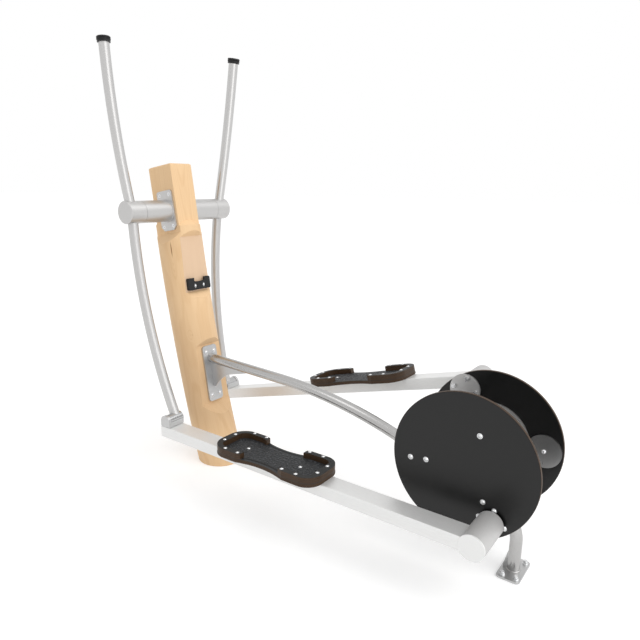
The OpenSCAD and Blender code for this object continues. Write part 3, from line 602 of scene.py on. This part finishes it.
class DressFootPlates(bpy.types.Operator):
    """Boards, treads and rims of the foot plates"""
    bl_idname = "trainer.dress_foot_plates"
    bl_label = "Foot plates"

    def execute(self, context):
        for side in SIDES:
            dress(foot_board(side, FLOOR_TOP, "tread_board", True), f"foot_tread_{side}")
            dress(foot_board(side, RIM_TOP, "rim_board", False),
                  f"toe_rim_{side}", f"heel_rim_{side}", f"foot_board_{side}")
        return {"FINISHED"}


def half_width(x):
    """Half the foot plate's width at a place along it, or 0 past its ends."""
    waist = WAIST_WIDTH / 2 + WAIST_RADIUS - math.sqrt(max(0, WAIST_RADIUS ** 2 - x * x))
    radius = TOE_RADIUS if x < 0 else HEEL_RADIUS
    past = abs(x) - (FOOT_LENGTH / 2 - radius)
    if past > radius:
        return 0.0
    end = FOOT_WIDTH / 2 if past <= 0 else (
        FOOT_WIDTH / 2 - radius + math.sqrt(radius ** 2 - past ** 2))
    return min(waist, end)


def pebble_fits(x, y, radius):
    """Whether a pebble lies on the tread, inside the rims and clear of the bolts."""
    beside_rim = abs(x) > RIM_START - RIM_END_CLEAR
    edge = RIM_WIDTH + RIM_CLEAR if beside_rim else GROOVE_IN + GROOVE_CLEAR
    inner = half_width(x + math.copysign(RIM_END - RIM_WIDTH, x)) - edge
    room = FOOT_LENGTH / 2 - abs(x) - RIM_END - RIM_CLEAR
    if abs(y) > inner - radius or room < radius:
        return False
    return all(math.hypot(x - bx, y - by) >= BOLT_CLEAR for bx, by in FLOOR_BOLTS)


class MakePebbles(bpy.types.Operator):
    """Raised pebbles on the treads, inside the rims and clear of the bolts"""
    bl_idname = "trainer.make_pebbles"
    bl_label = "Tread pebbles"

    def execute(self, context):
        s, rubber = sizes(), pebble_rubber()
        for side, sign in SIDES.items():
            draw = random.Random(7 + sign)
            place = beam_matrix(side) @ Matrix.Translation(
                (FOOT_CENTRE[side], sign * BEAM_OUT, FLOOR_TOP - PEBBLE_SUNK))
            mesh = bmesh.new()
            columns = int(FOOT_LENGTH / s.pebble_pitch)
            rows = int(FOOT_WIDTH / s.pebble_pitch)
            for i in range(-columns // 2, columns // 2 + 1):
                for j in range(-rows // 2, rows // 2 + 1):
                    shift = draw.uniform(-PEBBLE_SCATTER, PEBBLE_SCATTER)
                    x = (i + 0.5 * (j % 2) + shift) * s.pebble_pitch
                    y = (j + draw.uniform(-PEBBLE_SCATTER, PEBBLE_SCATTER)) * s.pebble_pitch
                    radius = s.pebble_radius * draw.uniform(*PEBBLE_SIZES)
                    spin = draw.uniform(0, math.pi)
                    if not pebble_fits(x, y, radius):
                        continue
                    bmesh.ops.create_cone(
                        mesh, cap_ends=True, segments=6, radius1=radius,
                        radius2=radius * PEBBLE_TAPER, depth=s.pebble_height,
                        matrix=place @ Matrix.Translation((x, y, s.pebble_height / 2))
                        @ Matrix.Rotation(spin, 4, "Z"))
            piece(f"tread_pebbles_{side}", mesh, rubber, f"{side}_beam")
        return {"FINISHED"}


def weld_ring(name, centre, axis, radius, body, material, steps=72):
    """A rippled weld bead round a tube where it meets a flat face; axis points off the face."""
    mesh, leg = bmesh.new(), sizes().weld_leg
    turn = Vector((0, 0, 1)).rotation_difference(Vector(axis)).to_matrix().to_4x4()
    corners = [(-WELD_SUNK, 0), *((leg * a, leg * b) for a, b in WELD_SECTION),
               (-WELD_SUNK, leg)]
    loop = [mesh.verts.new((radius + a, 0, b)) for a, b in corners]
    edges = [mesh.edges.new((loop[i - 1], loop[i])) for i in range(len(loop))]
    bmesh.ops.spin(mesh, geom=[*loop, *edges], axis=(0, 0, 1), cent=(0, 0, 0),
                   angle=math.tau, steps=steps, use_merge=True)
    for vert in mesh.verts:
        wave = math.sin(WELD_RIPPLES * math.atan2(vert.co.y, vert.co.x))
        reach = math.hypot(vert.co.x, vert.co.y)
        if reach > radius + 0.1 * MM:
            grown = radius + (reach - radius) * (1 + WELD_RIPPLE_SHARE * wave)
            vert.co.x *= grown / reach
            vert.co.y *= grown / reach
    bmesh.ops.transform(mesh, matrix=Matrix.Translation(centre) @ turn, verts=mesh.verts)
    piece(name, mesh, material, body)


class MakeWelds(bpy.types.Operator):
    """Weld beads where round tubes stand on flat plates"""
    bl_idname = "trainer.make_welds"
    bl_label = "Welds"

    def execute(self, context):
        metal = weld_metal()
        hub = joint_place("left_arm_swing")
        for side, sign in SIDES.items():
            weld_ring(f"weld_hub_{side}", (hub.x, sign * HUB_FACE_Y, hub.z), (0, sign, 0),
                      CROSS_TUBE_RADIUS, "frame", metal)
        leg = centre_of("base_plate")
        weld_ring("weld_leg", (leg.x, 0, BASE_PLATE_TOP), (0, 0, 1), STAY_LEG_RADIUS, "frame",
                  metal, 48)
        return {"FINISHED"}


class DressPlastic(bpy.types.Operator):
    """Moulded handle caps and phone holder"""
    bl_idname = "trainer.dress_plastic"
    bl_label = "Plastic parts"

    def execute(self, context):
        dress(moulded_plastic(), "phone_holder", *both("handle_cap"))
        return {"FINISHED"}


def seen_directly(tree):
    """1 for rays from the camera, a mirror or glass, and 0 for the rest."""
    path = tree.nodes.new("ShaderNodeLightPath")
    seen = path.outputs["Is Camera Ray"]
    for ray in ("Is Glossy Ray", "Is Transmission Ray"):
        most = tree.nodes.new("ShaderNodeMath")
        most.operation = "MAXIMUM"
        tree.links.new(seen, most.inputs[0])
        tree.links.new(path.outputs[ray], most.inputs[1])
        seen = most.outputs[0]
    return seen


def floor_material():
    """Pale matt floor, lifted towards white where it is seen directly."""
    g = Graph("studio_floor")
    lift = g.times(seen_directly(g.tree), FLOOR_LIFT)
    return g.surface(Base_Color=(0.80, 0.80, 0.80, 1), Roughness=0.9, Specular_IOR_Level=0.1,
                     Emission_Color=(1, 1, 1, 1), Emission_Strength=lift)


def studio_floor():
    """A wide disc of floor just below the ground, which isn't part of the object."""
    mesh = bmesh.new()
    bmesh.ops.create_circle(mesh, cap_ends=True, segments=96, radius=sizes().floor_radius)
    data = bpy.data.meshes.new("studio_floor")
    mesh.to_mesh(data)
    mesh.free()
    data.materials.append(floor_material())
    floor = bpy.data.objects.new("studio_floor", data)
    floor.location.z = -FLOOR_DROP
    bpy.context.scene.collection.objects.link(floor)


def studio_sky():
    """White behind the object, and softer white as light on it."""
    world = bpy.data.worlds.new("studio_world")
    bpy.context.scene.world = world
    world.use_nodes = True
    tree = world.node_tree
    back = tree.nodes["Background"]
    back.inputs["Color"].default_value = (1, 1, 1, 1)
    level = tree.nodes.new("ShaderNodeMapRange")
    level.inputs["To Min"].default_value = SKY_LIGHT
    level.inputs["To Max"].default_value = 1.0
    tree.links.new(seen_directly(tree), level.inputs["Value"])
    tree.links.new(level.outputs[0], back.inputs["Strength"])


def sun(name, towards, strength, spread):
    """A sun that shines along a direction, with a spread in degrees."""
    lamp = bpy.data.lights.new(name, "SUN")
    lamp.energy, lamp.angle = strength, math.radians(spread)
    made = bpy.data.objects.new(name, lamp)
    made.rotation_euler = Vector(towards).to_track_quat("-Z", "Y").to_euler()
    bpy.context.scene.collection.objects.link(made)


def softbox(name, place, target, wide, tall, power):
    """A rectangular lamp at a place, turned to a target."""
    lamp = bpy.data.lights.new(name, "AREA")
    lamp.shape, lamp.size, lamp.size_y, lamp.energy = "RECTANGLE", wide, tall, power
    made = bpy.data.objects.new(name, lamp)
    made.location = place
    made.rotation_euler = (Vector(target) - Vector(place)).to_track_quat("-Z", "Y").to_euler()
    bpy.context.scene.collection.objects.link(made)


def photo_camera():
    """The camera at the photograph's place, angle and focus."""
    camera = bpy.data.cameras.new("photo_camera")
    camera.sensor_width = 36
    camera.lens = CAMERA_FOCUS / PHOTO_WIDTH * camera.sensor_width
    made = bpy.data.objects.new("photo_camera", camera)
    s, c = math.sin(CAMERA_AZIMUTH), math.cos(CAMERA_AZIMUTH)
    se, ce = math.sin(CAMERA_PITCH), math.cos(CAMERA_PITCH)
    ahead, right = Vector((-s * ce, c * ce, -se)), Vector((c, s, 0))
    up = right.cross(ahead)
    rolled = math.cos(CAMERA_ROLL) * right + math.sin(CAMERA_ROLL) * up
    turn = Matrix((rolled, rolled.cross(ahead), -ahead)).transposed()
    made.matrix_world = Matrix.Translation(CAMERA_PLACE) @ turn.to_4x4()
    bpy.context.scene.collection.objects.link(made)
    bpy.context.scene.camera = made


class MakeStage(bpy.types.Operator):
    """Pale floor, soft light and the camera at the photograph's angle"""
    bl_idname = "trainer.make_stage"
    bl_label = "Stage"

    def execute(self, context):
        studio_floor()
        studio_sky()
        sun("soft_key", SUN_TOWARDS, SUN_STRENGTH, SUN_SPREAD)
        for box in SOFTBOXES:
            softbox(*box)
        photo_camera()
        context.scene.view_settings.view_transform = "Standard"
        return {"FINISHED"}


OPERATORS = (DressPost, DressSteel, DressDiscs, DressFootPlates, MakePebbles, MakeWelds,
             DressPlastic, MakeStage)


class TrainerPanel(bpy.types.Panel):
    """Lists the sizes, colours and steps of the cross trainer"""
    bl_idname = "VIEW3D_PT_cross_trainer"
    bl_label = "Cross Trainer"
    bl_space_type = "VIEW_3D"
    bl_region_type = "UI"
    bl_category = "Cross Trainer"

    def draw(self, context):
        for group in (context.scene.trainer_sizes, context.scene.trainer_colours):
            box = self.layout.box()
            for name in group.__annotations__:
                box.prop(group, name)
        for step in OPERATORS:
            self.layout.operator(step.bl_idname)


CLASSES = (CrossTrainerColours, CrossTrainerSizes, *OPERATORS, TrainerPanel)


def register():
    for item in CLASSES:
        bpy.utils.register_class(item)
    bpy.types.Scene.trainer_colours = bpy.props.PointerProperty(type=CrossTrainerColours)
    bpy.types.Scene.trainer_sizes = bpy.props.PointerProperty(type=CrossTrainerSizes)


def unregister():
    del bpy.types.Scene.trainer_sizes
    del bpy.types.Scene.trainer_colours
    for item in reversed(CLASSES):
        bpy.utils.unregister_class(item)


def main():
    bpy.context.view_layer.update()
    register()
    for step in OPERATORS:
        group, name = step.bl_idname.split(".")
        getattr(getattr(bpy.ops, group), name)()
    bpy.context.view_layer.update()


if __name__ == "__main__":
    main()
